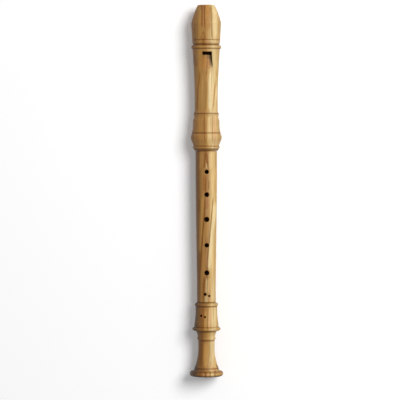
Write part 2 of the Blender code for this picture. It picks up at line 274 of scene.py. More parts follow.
def drape(tool, points, along, radius, over):
    """Moves the selected corners to this radius, and this far over the surface of the joint."""
    shape = bmesh.from_edit_mesh(tool.data)
    for vert in shape.verts:
        if vert.select:
            aside = vert.co.xy.normalized() * radius
            outer = widest(points, along + aside.y)
            height = math.sqrt(outer * outer - aside.x * aside.x) + over
            vert.co = Vector((aside.x, aside.y, height)) * mm
    bmesh.update_edit_mesh(tool.data)


def drill(steps, along, diameter, turn):
    """A drill for a joint with this outline. Turn is its direction in degrees from the top."""
    points = outline(steps)
    radius = diameter / 2
    inside_wall, into_bore = 11 * mm, -8.5 * mm
    bpy.ops.object.select_all(action="DESELECT")
    bpy.ops.mesh.primitive_cylinder_add(vertices=40, radius=radius * mm, depth=mm, location=(0, 0, 0))
    tool = bpy.context.active_object
    tool.name = "drill"
    tool.data.transform(Matrix.Translation((0, 0, inside_wall)))
    bpy.ops.object.mode_set(mode="EDIT")
    bpy.ops.mesh.select_mode(type="FACE")

    # The inner end is drawn down into the bore and widened for the undercut.
    choose_end(tool, outer=False)
    bpy.ops.mesh.extrude_region_move(TRANSFORM_OT_translate={"value": (0, 0, into_bore)})
    bpy.ops.transform.resize(value=(undercut, undercut, 1), center_override=(0, 0, 0))

    # The outer end is extruded in steps: how far the wall stands back, and its height over the surface.
    # Halfway round, a quarter circle stays 0.29 of its radius off the sharp corner, back and down.
    halfway = 0.29 * eased
    choose_end(tool, outer=True)
    for back, over in ((0, -eased), (halfway, -halfway), (eased, 0), (1.2 * eased, 3)):
        bpy.ops.mesh.extrude_region_move()
        drape(tool, points, along, radius + back, over)
    bpy.ops.mesh.select_all(action="SELECT")
    bpy.ops.mesh.normals_make_consistent(inside=False)
    bpy.ops.object.mode_set(mode="OBJECT")
    place = Matrix.Translation((0, along * mm - half_length, bore_height))
    tool.matrix_world = place @ Matrix.Rotation(math.radians(turn), 4, "Y")
    return tool


print(f"A drill is {undercut - 1:.0%} wider at its inner end and {2 * eased:.2f} mm wider at its rim")


# %% Cutting, and the foot's two holes
def cut(piece, tool):
    """Takes the tool out of the piece and removes it."""
    choose(piece)
    bpy.ops.object.modifier_add(type="BOOLEAN")
    step = piece.modifiers[-1]
    step.operation = "DIFFERENCE"
    step.solver = "EXACT"
    step.object = tool
    bpy.ops.object.modifier_apply(modifier=step.name)
    bpy.data.objects.remove(tool)


foot_turn = -19
cut(foot, drill(foot_steps, 82.3, 3.8, foot_turn - 11))
cut(foot, drill(foot_steps, 80.9, 3.0, foot_turn + 11))
print("foot after drilling:", len(foot.data.polygons), "faces")

# %% [markdown]
# ## The middle joint
# The body widens slightly towards the head and carries a tenon at each end. Each tenon has a shallow
# seat for its cork, with a rib of wood left on both sides to keep the cork in place.

# %% The middle joint's outline
middle_steps = [
    # The lower tenon with its seat.
    (9.35, 87.5), (9.75, 87.9), (9.75, 89.55), (8.75, 89.55), (8.75, 97.35), (9.75, 97.35),
    (9.75, 100.1),
    # The body between its two shoulders.
    (12.25, 100.1), (12.65, 100.5), (12.65, 128.1), (14.4, 271.9, 0.15), (14.4, 303.5), (14.0, 303.9),
    # The upper tenon with its seat.
    (11.95, 303.9), (11.95, 309.25), (10.95, 309.25), (10.95, 326.55), (11.95, 326.55),
    (11.95, 329.5), (11.55, 329.9),
    # The bore, which narrows towards the foot.
    (9.45, 329.9), (6.9, 87.5),
]
middle = turned("middle", middle_steps, soft=0.15)

# %% Its finger holes and the thumb hole
middle_turn = 2.4
finger_holes = [
    (276.1, 6.0, 0), (245.4, 6.6, 0), (212.1, 7.0, 0), (177.3, 6.1, 0), (140.3, 6.7, 0),
    (111.4, 4.1, -10.5), (109.0, 3.2, 15.5),
]
thumb_hole = (291.0, 5.8, 180)
for along, diameter, turn in [*finger_holes, thumb_hole]:
    cut(middle, drill(middle_steps, along, diameter, middle_turn + turn))
print("middle after drilling:", len(middle.data.polygons), "faces")

# %% [markdown]
# ## Cork on the tenons
# The cork is a strip glued round the tenon and greased. It swells a little between its edges, and its
# two ends meet in a slanting seam. The sleeve is turned like the wood, and the seam is a thin wedge cut
# across it.

# %% The cork sleeves
def cork_sleeve(name, inner, outer, first, last):
    """A sleeve between two radii and two places along the bore, with its seam, in millimetres."""
    edge, bulge = 0.35, 0.12
    steps = [
        (inner, first), (outer - edge, first), (outer - bulge, first + edge),
        (outer - bulge, last - edge, bulge), (outer - edge, last), (inner, last),
    ]
    piece = turned(name, steps, soft=0.12)
    seam_width, seam_height, seam_depth, seam_turn, seam_lean = 0.16, 1, 0.15, 128, 24
    bpy.ops.object.select_all(action="DESELECT")
    bpy.ops.mesh.primitive_cube_add(size=1, location=(0, 0, 0))
    seam = bpy.context.active_object
    seam.scale = (seam_width * mm, 2 * (last - first) * mm, seam_height * mm)
    halfway = (first + last) / 2 * mm - half_length
    place = Matrix.Translation((0, halfway, bore_height))
    round_bore = Matrix.Rotation(math.radians(seam_turn), 4, "Y")
    outwards = Matrix.Translation((0, 0, (outer + seam_height / 2 - seam_depth) * mm))
    slant = Matrix.Rotation(math.radians(seam_lean), 4, "Z")
    seam.matrix_world = place @ round_bore @ outwards @ slant @ seam.matrix_basis
    cut(piece, seam)
    return piece


upper_cork = cork_sleeve("upper_cork", 11.1, 12.2, 309.4, 326.4)
lower_cork = cork_sleeve("lower_cork", 8.9, 10.0, 89.7, 97.2)

# %% [markdown]
# ## The head joint
# From its socket up: a ring, the bulb that strengthens the socket, a collar and a bead, the slim tube,
# the thick bead over the window, a cove and a band, and the long cheek that ends in the tapered beak.

# %% The head's outline
head_steps = [
    # The socket's mouth, its ring and the bulb with a fine line above it.
    (15.0, 304.2), (17.1, 307.4, 0.2), (18.0, 307.9), (18.0, 309.5, 0.25), (17.3, 310.0),
    (17.4, 311.6, -0.2), (19.7, 317.6, -0.15),
    (19.4, 327.1, 1.25), *fine_line(19.4, 327.7),
    # The collar, the bead and the tube.
    (17.8, 338.2, -0.3), (17.8, 345.2), (16.3, 350.6, -0.2), (16.0, 356.4, 0.7), (15.55, 357.0),
    (15.55, 382.0), (18.3, 440.5, -0.35),
    # The thick bead, the cove, the band and its line.
    (18.2, 440.7), (18.2, 446.1, 1.9), (17.4, 447.1), (18.5, 449.0, -0.15), (18.6, 452.6),
    *fine_line(18.6, 453.2),
    # The cheek, the shoulder and the cone of the beak.
    (18.8, 453.9), (20.1, 474.0, -0.1), (19.95, 476.3, 0.15), (11.5, 499.7, 0.8), (11.2, 500.0),
    # The bore and the socket.
    (9.75, 500.0), (9.75, 330.4), (12.4, 330.4), (12.4, 304.2),
]
head = turned("head", head_steps)

# %% [markdown]
# ## Windway, window and labium
# Breath runs through the windway, a slot 13 mm wide and little more than 1 mm high, crosses the open
# window and meets the sharp edge of the labium. The labium is the end of a long ramp that is carved
# from outside. Roof, floor and labium are arched like the bore, so each cutter is lofted through
# cross-sections that are drawn as wires and bridged. The window itself is a plain straight cut.


# %% Lofted cutters
arch_pieces = 12


def arch(half, along, radius, low=None, high=None):
    """A section across the bore: an arch about it, or a level edge at low, and a far side at high."""
    edge = []
    for i in range(arch_pieces + 1):
        across = half * (2 * i / arch_pieces - 1)
        edge.append((across, math.sqrt(radius * radius - across * across) if low is None else low))
    far = [(half, high), (-half, high)]
    return [(x * mm, along * mm - half_length, bore_height + z * mm) for x, z in [*edge, *far]]


def lofted(name, sections, turn):
    """A closed solid through the sections, turned about the bore by degrees."""
    tools = []
    for section in sections:
        tools.append(draw(name, [*section, section[0]]))
        bpy.ops.object.mode_set(mode="OBJECT")
    choose(tools[0])
    for tool in tools[1:]:
        tool.select_set(True)
    bpy.ops.object.join()
    bpy.ops.object.mode_set(mode="EDIT")
    bpy.ops.mesh.select_all(action="SELECT")
    bpy.ops.mesh.remove_doubles(threshold=same_place)
    bpy.ops.mesh.bridge_edge_loops()
    bpy.ops.mesh.select_mode(type="EDGE")
    for end in (sections[0][0][1], sections[-1][0][1]):
        bpy.ops.mesh.select_all(action="DESELECT")
        shape = bmesh.from_edit_mesh(tools[0].data)
        for edge in shape.edges:
            edge.select = all(abs(vert.co.y - end) < same_plane for vert in edge.verts)
        bmesh.update_edit_mesh(tools[0].data)
        bpy.ops.mesh.edge_face_add()
    bpy.ops.mesh.select_mode(type="VERT")
    close_mesh()
    about_bore = Matrix.Translation((0, 0, bore_height))
    tilt = Matrix.Rotation(math.radians(turn), 4, "Y")
    tools[0].data.transform(about_bore @ tilt @ about_bore.inverted())
    return tools[0]


print("A section has", len(arch(6.5, 437.3, 10.5, high=30)), "points")

# %% Cutting the head
head_turn = 4.4
within, above = 4.9, 30
roof = 10.5
windway_sections = [arch(6.5, 436.2, roof, high=within), arch(6.9, 505, roof, high=within)]
window_sections = [
    arch(6.5, 432.8, roof, low=within, high=above),
    arch(6.5, 437.3, roof, low=within, high=above),
]
ramp_sections = [arch(8.5, 401.8, roof, low=19.3, high=above), arch(6.5, 433.9, 10.2, high=above)]
windway = lofted("windway", windway_sections, head_turn)
window = lofted("window", window_sections, head_turn)
ramp = lofted("ramp", ramp_sections, head_turn)
for tool in (windway, window, ramp):
    cut(head, tool)
print("head after cutting:", len(head.data.polygons), "faces")

# %% [markdown]
# The underside of the beak is hollowed so that it lies on the lower lip. A large drum laid across the
# bore cuts head and block in one sweep, as a drum sander does.


# %% The hollow under the beak
def lip_drum():
    """A drum across the bore whose top comes within 1 mm of the bore's axis."""
    radius = 56
    bpy.ops.object.select_all(action="DESELECT")
    bpy.ops.mesh.primitive_cylinder_add(
        vertices=360, radius=radius * mm, depth=80 * mm, location=(0, 0, 0), rotation=(0, math.pi / 2, 0)
    )
    drum = bpy.context.active_object
    drum.name = "lip_drum"
    place = Matrix.Translation((0, 497 * mm - half_length, bore_height))
    tilt = Matrix.Rotation(math.radians(head_turn), 4, "Y")
    below = Matrix.Translation((0, 0, -(radius + 1) * mm))
    drum.matrix_world = place @ tilt @ below @ drum.matrix_basis
    return drum


cut(head, lip_drum())
print("head with the hollow under its beak:", len(head.data.polygons), "faces")

# %% [markdown]
# ## The block
# The block is cedar, because cedar takes up breath moisture without swelling much. Its top is planed to
# the arched floor of the windway, with a small chamfer where the breath leaves it.

# %% The block
block = turned("windway_block", [(0, 437.3), (9.55, 437.3), (9.55, 500.0), (0, 500.0)])
over_block = 15
floor_sections = [
    arch(6.5, 432.3, 8.9, high=over_block),
    arch(6.5, 437.3, 8.9, high=over_block),
    arch(6.5, 438.1, 9.4, high=over_block),
    arch(6.9, 505, 9.15, high=over_block),
]
cut(block, lofted("windway_floor", floor_sections, head_turn))
cut(block, lip_drum())
print("block:", len(block.data.polygons), "faces")

# %% [markdown]
# ## Smooth shading
# A lathe leaves surfaces that are round everywhere except at real corners. Smoothing by angle shades
# the spun faces as one curve and keeps the edges of steps, windows and holes sharp.

# %% Shading and taking the nodes' places
visual_pieces = {
    "head_joint": (head, "head", "olive_wood_head"),
    "block": (block, "fipple_block", "cedar"),
    "upper_tenon_cork": (upper_cork, "upper_cork", "cork"),
    "middle_joint": (middle, "middle", "olive_wood_middle"),
    "lower_tenon_cork": (lower_cork, "lower_cork", "cork"),
    "foot_joint": (foot, "foot", "olive_wood_foot"),
}
smooth_up_to = 28
for node_name, (piece, body, finish) in visual_pieces.items():
    choose(piece)
    bpy.ops.object.shade_smooth_by_angle(angle=math.radians(smooth_up_to))
    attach(piece, body)
    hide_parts(node_name)
    print(f"{piece.name} stands for {node_name} and moves with {body}")

# %% [markdown]
# ## Nodes for the finishes
# Each finish is a tree of shader nodes. One small function adds a node with its settings, its links and
# the points of its ramp or curve, so that a finish reads as a list of steps. Colours are written as the
# usual sRGB hex values and turned to the linear values that Blender computes with. Math nodes have
# several sockets of one name, so sockets go by number. MapRange has its value at 0, the two ends it
# comes from at 1 and 2, and the two ends it goes to at 3 and 4.


# %% Colours and nodes
def linear(code):
    """The linear red, green and blue of an sRGB hex colour, and 1 for its alpha."""
    colour = []
    for i in (1, 3, 5):
        share = int(code[i : i + 2], 16) / 255
        colour.append(share / 12.92 if share <= 0.04045 else ((share + 0.055) / 1.055) ** 2.4)
    return (*colour, 1)


def node(tree, kind, inputs=None, points=None, **settings):
    """Adds a node. An input is a value, an output, or another node, which gives its first output."""
    made = tree.nodes.new("ShaderNode" + kind)
    for name, value in settings.items():
        setattr(made, name, value)
    for socket, value in (inputs or {}).items():
        if isinstance(value, bpy.types.Node):
            value = value.outputs[0]
        if isinstance(value, bpy.types.NodeSocket):
            tree.links.new(value, made.inputs[socket])
        else:
            made.inputs[socket].default_value = value
    if kind == "ValToRGB":
        stops = made.color_ramp.elements
        stops.remove(stops[1])
        stops[0].position, stops[0].color = points[0][0], linear(points[0][1])
        for place, shade in points[1:]:
            stops.new(place).color = linear(shade)
    elif kind == "FloatCurve":
        bends = made.mapping.curves[0].points
        bends[0].location, bends[1].location = points[0], points[-1]
        for bend in points[1:-1]:
            bends.new(*bend)
        made.mapping.update()
    return made


def new_finish(name):
    """A new material, its tree, its shader, and the place on the piece in millimetres about the bore."""
    finish = bpy.data.materials.new(name)
    finish.use_nodes = True
    tree = finish.node_tree
    about_bore = node(
        tree,
        "Mapping",
        {
            "Vector": node(tree, "TexCoord").outputs["Object"],
            "Location": (0, -half_length, bore_height),
            "Scale": (mm, mm, mm),
        },
        vector_type="TEXTURE",
    )
    return finish, tree, tree.nodes["Principled BSDF"], about_bore


# MapRange turns sharply at its two ends, unless it is told to ease in and out.
smoothly = {"interpolation_type": "SMOOTHSTEP"}
print("sRGB #808080 is", round(linear("#808080")[0], 3), "in linear light")


# %% [markdown]
# ## Olive wood, turned, sanded and oiled
# Olive is dense, golden to tan, with dark brown lines where its growth rings crowd. Oil brings the lines
# out and leaves a low satin gloss. A plain wood texture repeats too evenly for it. Here each joint gets
# the tones that run across it, and its strongest lines are drawn one by one as curves along the bore,
# in millimetres. Noise stretched along the grain adds the finer lines. On the far side the rings lean,
# so the back doesn't mirror the front. The shades have names, so that a list of lines can be read
# without knowing their codes. Places across the bore grow from left to right, as the photograph shows
# the recorder, and the lists go the same way.

# %% The shades of the wood, from dark figure to pale sapwood
shades = {
    "bark": "#584022", "umber": "#6E4A22", "cocoa": "#80582A", "earth": "#8E6231", "oak": "#9E723A",
    "buff": "#A4783F", "amber": "#AD8042", "sand": "#B48E55", "wheat": "#BE9858", "corn": "#CDAC72",
    "straw": "#D7B67B", "cream": "#DEC48E", "ivory": "#E5CD99", "dark": "#7A4608", "shadow": "#744C18",
    "walnut": "#8A5414", "russet": "#965E26", "olive": "#926C2E", "rose": "#A66E43",
    "chestnut": "#AE7A3C", "khaki": "#A68648", "honey": "#BC8C48", "pink": "#BA875C",
    "peach": "#CC9664", "apricot": "#D6A976",
}
# Painted shade for the grooves, the undersides of the rings, the joints and the bell's edge, strong to
# faint.
painted_shade = {
    "heavy": "#55402A", "deep": "#94704A", "medium": "#AC8A62", "light": "#C4AA84", "faint": "#E0D0B8",
}
print(len(shades), "shades of olive wood and", len(painted_shade), "of grease in a groove")


# %% Places along and across the joints
first_place, last_place = -10, 510
widest_off = 25


def share_along(place):
    """A place along the bore, in millimetres from the bell's end, as a share of the lines' field."""
    return (place - first_place) / (last_place - first_place)


def share_across(off):
    """A place across the bore, in millimetres from its middle, as a share of the lines' field."""
    return (off + widest_off) / (2 * widest_off)


print("A line down the middle of the bore lies at a share of", share_across(0))


# %% One line of the figure
longest_taper = 14


def grain_line(tree, wood, along, across, path, half, soft, shade, share):
    """Mixes a line of this shade into the wood. Path is its places along the bore and across it.

    Half is half its width and soft its blurred edge, in millimetres. Share is how much it covers.
    """
    bends = [(share_along(place), share_across(off)) for place, off in path]
    course = node(tree, "FloatCurve", {1: along}, points=bends)
    middle_line = node(
        tree, "Math", {0: course, 1: 2 * widest_off, 2: -widest_off}, operation="MULTIPLY_ADD"
    )
    off_line = node(tree, "Math", {0: across, 1: middle_line}, operation="SUBTRACT")
    aside = node(tree, "Math", {0: off_line}, operation="ABSOLUTE")

    # Reach falls from one to nothing at both ends, where the line narrows to a point.
    first, last = path[0][0], path[-1][0]
    taper = min(longest_taper, 0.4 * (last - first))
    ends = []
    for end, inwards in ((first, 1), (last, -1)):
        outer, inner = end - inwards * 0.4 * taper, end + inwards * 0.6 * taper
        ends.append(node(
            tree, "MapRange", {0: along, 1: share_along(outer), 2: share_along(inner)}, **smoothly
        ))
    reach = node(tree, "Math", {0: ends[0], 1: ends[1]}, operation="MULTIPLY")
    beyond = node(tree, "Math", {0: reach, 1: -half, 2: aside}, operation="MULTIPLY_ADD")
    inside = node(tree, "MapRange", {0: beyond, 1: -soft, 2: soft, 3: share, 4: 0}, **smoothly)
    strength = node(tree, "Math", {0: inside, 1: reach}, operation="MULTIPLY", use_clamp=True)
    mixed = node(tree, "Mix", {0: strength, 6: wood, 7: linear(shades[shade])}, data_type="RGBA")
    return mixed.outputs[2]


print("A line of the figure narrows to a point over at most", longest_taper, "mm")

# %% [markdown]
# ### Finer figure, grain and pores
# Between the drawn lines real olive has lines from 3 mm wide down to hairs, and pores like short pencil
# dashes. Noise gives them all: it is squeezed across the grain and stretched along it. Pores are about
# 0.1 mm wide on the real wood. They are drawn three times as coarse, so that they show.


# %% Figure and grain from noise
figure_scale, grain_scale, pore_scale = (0.34, 4, 0.05), (1.9, 14, 0.5), (2.6, 110, 1.2)


def finer_figure(tree, wood, stretched, z):
    """Mixes darker lines, 1 to 3 mm wide, into the wood. They are stronger at the back."""
    scaled = node(tree, "VectorMath", {0: stretched, 1: figure_scale}, operation="MULTIPLY")
    figure = node(tree, "TexNoise", {"Vector": scaled, "Scale": 1, "Detail": 3, "Distortion": 0.3})
    crowded = node(tree, "MapRange", {0: figure, 1: 0.52, 2: 0.68, 3: 0, 4: 1}, **smoothly)
    behind = node(tree, "MapRange", {0: z, 1: 2, 2: -8, 3: 0.24, 4: 0.6}, **smoothly)
    figured = node(tree, "Math", {0: crowded, 1: behind}, operation="MULTIPLY")
    mixed = node(tree, "Mix", {0: figured, 6: wood, 7: linear("#6B431F")}, data_type="RGBA")
    return mixed.outputs[2]


def grain_and_pores(tree, stretched):
    """The grain's noise, and a brightness that is lower in the grain's lines and in the pores."""
    scaled = node(tree, "VectorMath", {0: stretched, 1: grain_scale}, operation="MULTIPLY")
    fine = node(tree, "TexNoise", {"Vector": scaled, "Scale": 1, "Detail": 3})
    scaled = node(tree, "VectorMath", {0: stretched, 1: pore_scale}, operation="MULTIPLY")
    pores = node(tree, "TexNoise", {"Vector": scaled, "Scale": 1, "Detail": 1})
    pored = node(tree, "MapRange", {0: pores, 1: 0.62, 2: 0.74, 3: 1, 4: 0.8})
    grained = node(tree, "MapRange", {0: fine, 1: 0.3, 2: 0.7, 3: 0.79, 4: 1.17})
    depth = node(tree, "Math", {0: grained, 1: pored}, operation="MULTIPLY")
    return fine, depth


for what, scale in (("figure", figure_scale), ("grain", grain_scale), ("pores", pore_scale)):
    print(f"The noise of the {what} changes about every {1 / scale[0]:.1f} mm across the wood")

# %% [markdown]
# ### Oil where it gathers, and painted shade
# Oil makes some places darker: the end grain, which drinks more, and the walls of the bore and of the
# finger holes. The finger holes' walls get painted shade as well, and the turned grooves, the undersides
# of the rings, the joints and the bell's edge get painted shade only. These could be drawn into a
# texture, but here the shader finds them by their place and by the way that the surface faces, so they
# follow every change of the shape.


# %% Grooves, end grain and walls
# The holes' walls keep least: oil stain and painted shade.
end_grain_keeps, bore_keeps, holes_keep = 0.72, 0.66, 0.55


def shade_in_grooves(tree, y, grooves):
    """A colour to multiply by, painted shade in each groove, given as its place, half width and amount.
    """
    first, last = grooves[0][0] - 20, grooves[-1][0] + 20
    place = node(tree, "MapRange", {0: y, 1: first, 2: last})
    bands = [(0, "#FFFFFF")]
    for at, half, amount in grooves:
        for edge, shade in ((at - half, "#FFFFFF"), (at, painted_shade[amount]), (at + half, "#FFFFFF")):
            bands.append(((edge - first) / (last - first), shade))
    return node(tree, "ValToRGB", {0: place}, points=bands)


def oiled_end_grain(tree, normal):
    """A brightness that is lower where the surface faces along the bore."""
    facing = node(tree, "SeparateXYZ", {0: normal})
    endwise = node(tree, "Math", {0: facing.outputs[1]}, operation="ABSOLUTE")
    return node(tree, "MapRange", {0: endwise, 1: 0.55, 2: 1, 3: 1, 4: end_grain_keeps}, **smoothly)


def stain_and_shade_on_walls(tree, about_bore, z, normal):
    """A colour to multiply by, reddish brown: oil stain in the bore, oil stain and painted shade in the
    holes.
    """
    off_axis = node(tree, "VectorMath", {0: about_bore, 1: (1, 0, 1)}, operation="MULTIPLY")
    spoke = node(tree, "VectorMath", {0: off_axis}, operation="NORMALIZE")
    outward = node(tree, "VectorMath", {0: spoke, 1: normal}, operation="DOT_PRODUCT")
    bore = node(
        tree,
        "MapRange",
        {0: outward.outputs["Value"], 1: -0.8, 2: -0.3, 3: bore_keeps, 4: 1},
        **smoothly,
    )

    # A hole's wall faces sideways round the bore. The hollow under the beak does so too, but it is
    # at the back, and only the front gets the stain and painted shade.
    crossed = node(tree, "VectorMath", {0: spoke, 1: normal}, operation="CROSS_PRODUCT")
    crossed_parts = node(tree, "SeparateXYZ", {0: crossed})
    sideways = node(tree, "Math", {0: crossed_parts.outputs[1]}, operation="ABSOLUTE")
    in_front = node(tree, "Math", {0: z, 1: 0}, operation="GREATER_THAN")
    walls = node(tree, "Math", {0: sideways, 1: in_front}, operation="MULTIPLY")
    hole_wall = node(tree, "MapRange", {0: walls, 1: 0.5, 2: 0.9, 3: 1, 4: holes_keep}, **smoothly)
    stain_and_shade = node(tree, "Math", {0: bore, 1: hole_wall}, operation="MULTIPLY")
    green = node(tree, "Math", {0: stain_and_shade, 1: 1.6}, operation="POWER")
    blue = node(tree, "Math", {0: stain_and_shade, 1: 2.2}, operation="POWER")
    return node(tree, "CombineXYZ", {0: stain_and_shade, 1: green, 2: blue})


print(f"Oil leaves {end_grain_keeps:.0%} of the light on end grain, {bore_keeps:.0%} in the bore")

# %% [markdown]
# ### The wood put together
# The broad tones come first, from heartwood on one side to sapwood on the other, then the drawn lines,
# the noise, the oil and the painted shade. The dense dark lines polish up more than the pale wood
# between them, so the grain's noise drives the roughness as well, and a very low bump breaks up the
# highlight.


# %% The wood itself
tone_reach = 22


def olive_wood(name, tones, lines, grooves, shift):
    """Oiled olive wood with these tones across it, these lines, and painted shade in these grooves round
    it.
    """
    finish, tree, surface, about_bore = new_finish(name)
    normal = node(tree, "TexCoord").outputs["Normal"]
    x, y, z = node(tree, "SeparateXYZ", {0: about_bore}).outputs
    along = node(tree, "MapRange", {0: y, 1: first_place, 2: last_place})

    # The rings stand upright in front and lean at the back, and waver by about half a millimetre.
    below = node(tree, "Math", {0: z, 1: 0}, operation="MINIMUM")
    lean = node(tree, "Math", {0: below, 1: 0.7, 2: x}, operation="MULTIPLY_ADD")
    long_grain = node(tree, "VectorMath", {0: about_bore, 1: (0.16, 0.022, 0.16)}, operation="MULTIPLY")
    moved = node(tree, "VectorMath", {0: long_grain, 1: (shift, shift, 0)}, operation="ADD")
    noise = node(tree, "TexNoise", {"Vector": moved, "Scale": 1, "Detail": 2})
    waver = node(tree, "Math", {0: noise, 1: 2.4, 2: -1.2}, operation="MULTIPLY_ADD")
    across = node(tree, "Math", {0: lean, 1: waver}, operation="ADD")

    # The broad tones, then the drawn lines and the finer ones.
    share = node(tree, "MapRange", {0: across, 1: -tone_reach, 2: tone_reach})
    ramp = [((off + tone_reach) / (2 * tone_reach), shades[shade]) for off, shade in tones]
    wood = node(tree, "ValToRGB", {0: share}, points=ramp)
    for line in lines:
        wood = grain_line(tree, wood, along, across, *line)
    stretched = node(tree, "CombineXYZ", {0: across, 1: along, 2: z})
    wood = finer_figure(tree, wood, stretched, z)
    fine, depth = grain_and_pores(tree, stretched)

    # What oil takes away, with the stain and painted shade on the walls and painted shade in the grooves.
    tone = node(tree, "Math", {0: depth, 1: oiled_end_grain(tree, normal)}, operation="MULTIPLY")
    wood = node(tree, "VectorMath", {0: wood, "Scale": tone}, operation="SCALE")
    for darker in (stain_and_shade_on_walls(tree, about_bore, z, normal), shade_in_grooves(tree, y, grooves)):
        wood = node(tree, "VectorMath", {0: wood, 1: darker}, operation="MULTIPLY")
    tree.links.new(wood.outputs[0], surface.inputs["Base Color"])

    # The satin gloss.
    gloss = node(tree, "MapRange", {0: fine, 1: 0.3, 2: 0.7, 3: 0.44, 4: 0.56})
    tree.links.new(gloss.outputs[0], surface.inputs["Roughness"])
    surface.inputs["IOR"].default_value = 1.33
    relief = node(tree, "Bump", {"Strength": 0.35, "Distance": 0.04 * mm, "Height": depth})
    tree.links.new(relief.outputs[0], surface.inputs["Normal"])
    print(f"{name}: {len(tree.nodes)} nodes, {len(lines)} drawn lines")
    return finish


print("The broad tones are spread over", 2 * tone_reach, "mm across the bore")

# %% The head's wood
head_tones = [
    (-18, "earth"), (-13, "buff"), (-7.5, "amber"), (-2, "buff"), (0.5, "amber"),
    (3, "wheat"), (6, "corn"), (9, "cream"), (13, "corn"), (17, "sand"),
]
head_lines = [
    # The beak: two dark brown lines with a reddish strip between them, then gold and an olive line.
    ([(464, -13), (496, -13)], 2.4, 1.6, "oak", 0.5),
    ([(467, -6), (488, -5.5), (505, -6)], 0.9, 0.6, "dark", 0.85),
    ([(468, -4), (505, -4)], 1, 0.7, "rose", 0.8),
    ([(467, -1.5), (488, -2), (505, -2)], 0.8, 0.5, "dark", 0.85),
    ([(464, 2.5), (502, 3)], 3.2, 1.6, "chestnut", 0.85),
    ([(475, 5.5), (494, 6)], 1, 0.9, "sand", 0.6),
    ([(451, 9), (463, 7.5), (483, 7), (503, 6.5)], 1.2, 0.9, "olive", 0.8),
    ([(455, 13), (478, 13), (496, 11.5)], 2, 1.3, "ivory", 0.55),
    # Below the beak two lines open downwards, and a dark strip between them runs into the bead.
    ([(453, -8), (465, -4)], 0.7, 0.6, "walnut", 0.7),
    ([(452, -1), (465, -4)], 0.7, 0.6, "dark", 0.7),
    ([(444, -3), (457, -4)], 1.5, 1.2, "walnut", 0.75),
    ([(440, 2), (453, 2)], 1.3, 1, "pink", 0.6),
    # The ramp below the window, painted shadow of its right wall on its right, and dark wood on its left.
    ([(412, 0), (432, 0.5)], 5.6, 0.6, "chestnut", 0.85),
    ([(412, -9), (430, -8)], 1, 0.8, "chestnut", 0.6),
    ([(402, 0), (412, 1), (429, 2)], 0.8, 0.6, "walnut", 0.8),
    # These two dark lines are painted shadow, cast onto the ramp by its right wall.
    ([(416, 7), (425, 6), (436, 4.5)], 1.6, 0.8, "bark", 0.7),
    ([(427, 2.5), (436, 2.5)], 1.3, 0.7, "bark", 0.6),
    ([(417, -13.5), (426, -15.5), (434, -17)], 1.6, 1, "shadow", 0.7),
    ([(416, -12.5), (429, -11.5)], 1, 0.8, "russet", 0.6),
    # The tube: a dark line on the left, and on the right a pale field with a tan line in it.
    ([(356, -12), (383, -11.5), (399, -9.5), (413, -9)], 0.9, 0.6, "walnut", 0.8),
    ([(356, -5), (410, -4.5)], 1, 0.9, "sand", 0.6),
    ([(356, -1.5), (378, -0.5), (402, 0)], 0.8, 0.7, "olive", 0.7),
    ([(356, 5.5), (394, 6), (413, 7)], 2.6, 1, "ivory", 0.9),
    ([(356, 9), (367, 9.5), (383, 11), (399, 12.5)], 0.8, 0.6, "chestnut", 0.8),
    ([(356, 11), (375, 12.5), (394, 14)], 0.9, 0.8, "cream", 0.6),
    ([(402, 14), (416, 14.5)], 0.7, 0.6, "khaki", 0.7),
    # The bulb: a brown line, a yellow field, an olive line and a peach strip.
    ([(313, -11), (351, -10.5)], 2.6, 1.6, "russet", 0.25),
    ([(314, -1.5), (332, -2.5), (355, -2.5)], 0.9, 0.6, "walnut", 0.8),
    ([(310, 4), (332, 4), (354, 4.5)], 2.3, 1.1, "straw", 0.8),
    ([(313, 8.5), (355, 8.5)], 0.8, 0.6, "olive", 0.85),
    ([(310, 11), (355, 11)], 1.9, 1.2, "apricot", 0.8),
    ([(314, -10.5), (327, -13)], 1.5, 1.2, "russet", 0.3),
]
# Painted shade in the grooves, coves and fine lines, under the socket's ring and under the bead.
head_grooves = [
    (305.6, 2.7, "deep"), (310.4, 1.2, "medium"), (328.3, 1.4, "medium"), (354.3, 1.5, "deep"),
    (441.4, 1.4, "light"), (446.6, 2.2, "deep"), (453.0, 1.2, "light"),
]
head_wood = olive_wood("olive_wood_head", head_tones, head_lines, head_grooves, 0)

